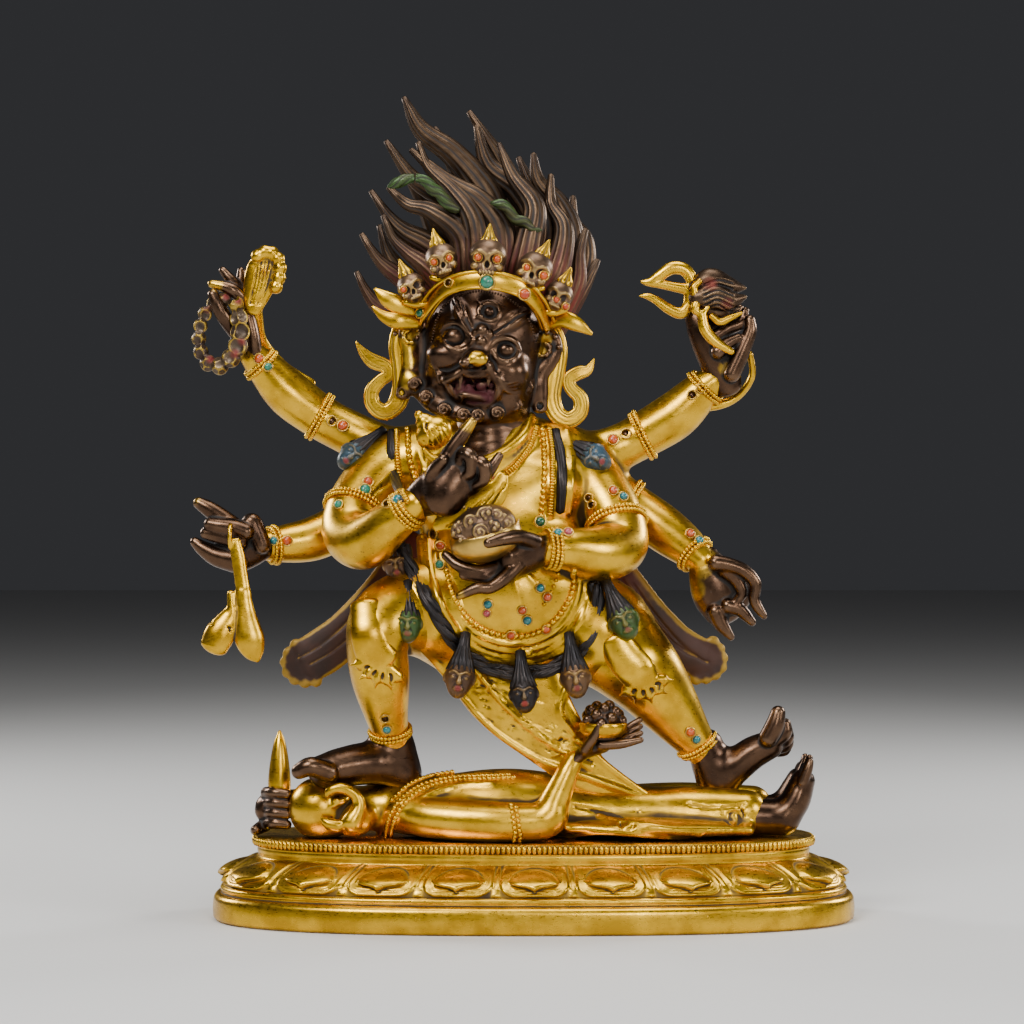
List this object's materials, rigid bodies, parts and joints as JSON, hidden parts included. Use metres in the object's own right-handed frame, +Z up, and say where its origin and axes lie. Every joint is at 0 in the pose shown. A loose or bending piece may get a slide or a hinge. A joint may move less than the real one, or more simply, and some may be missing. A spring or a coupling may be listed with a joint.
{
  "type": "mahakala figure",
  "caption": "Gilt copper-alloy figure of a striding multi-armed guardian with flaming hair, trampling a prone elephant-headed figure on an oval lotus base.",
  "frame": {"origin": "middle of the lotus base's flat underside", "axes": "+Z up, +X to the right of a viewer who faces the figure, -Y towards that viewer"},
  "size_m": [0.264, 0.12, 0.3274],
  "materials": {
    "gilt_figure": "mercury gilding, bright on the limbs, dark in the folds; head, hands, feet and hair left in dark brown bronze",
    "gilt_prone": "mercury gilding with dark hollows; hands and feet in dark brown bronze",
    "gilt_base": "mercury gilding, brushed, with pits and dark grime in the grooves",
    "gilt_drum": "bright gilding",
    "turquoise": "polished cabochon",
    "coral": "polished cabochon",
    "green_stone": "polished cabochon"
  },
  "bodies": {
    "root": {"lotus_base": "gilt_base", "elephant_headed_figure": "gilt_prone", "mahakala_figure": "gilt_figure", "hand_drum": "gilt_drum", "crown_turquoise": "turquoise", "crown_coral": "coral", "crown_green_stone": "green_stone", "belly_green_stone": "green_stone"}
  },
  "joints": []
}
